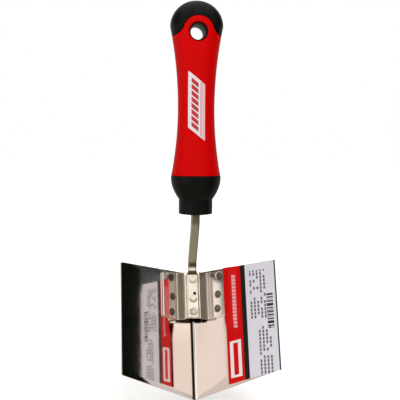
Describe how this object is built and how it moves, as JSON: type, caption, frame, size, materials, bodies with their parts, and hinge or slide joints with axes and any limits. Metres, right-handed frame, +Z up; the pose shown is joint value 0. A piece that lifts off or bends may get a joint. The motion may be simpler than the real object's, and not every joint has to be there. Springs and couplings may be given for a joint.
{
  "type": "inside corner trowel",
  "caption": "Hand trowel with a V-shaped steel blade for smoothing inside corners, cranked shank, and soft-grip handle with a hang hole.",
  "frame": {"origin": "centre of the hang hole, on the handle's axis", "axes": "+Z up the handle's axis to its butt, -Y the hollow side of the blade that faces the user, +Y the working side, +X to the right seen from the hollow side"},
  "size_m": [0.1034, 0.0642, 0.2692],
  "materials": {
    "blade_steel": "polished stainless sheet",
    "bracket_steel": "bright rolled sheet with weld marks",
    "shank_steel": "plated bar, satin",
    "core_plastic": "fine satin moulding",
    "grip_rubber": "satin soft-touch",
    "badge_plastic": "smooth moulding",
    "label_card": "coated print"
  },
  "bodies": {
    "root": {"blade": "blade_steel", "bracket": "bracket_steel", "shank": "shank_steel", "handle_core": "core_plastic", "soft_grip": "grip_rubber", "grip_badge": "badge_plastic", "label_sleeve": "label_card"}
  },
  "joints": []
}
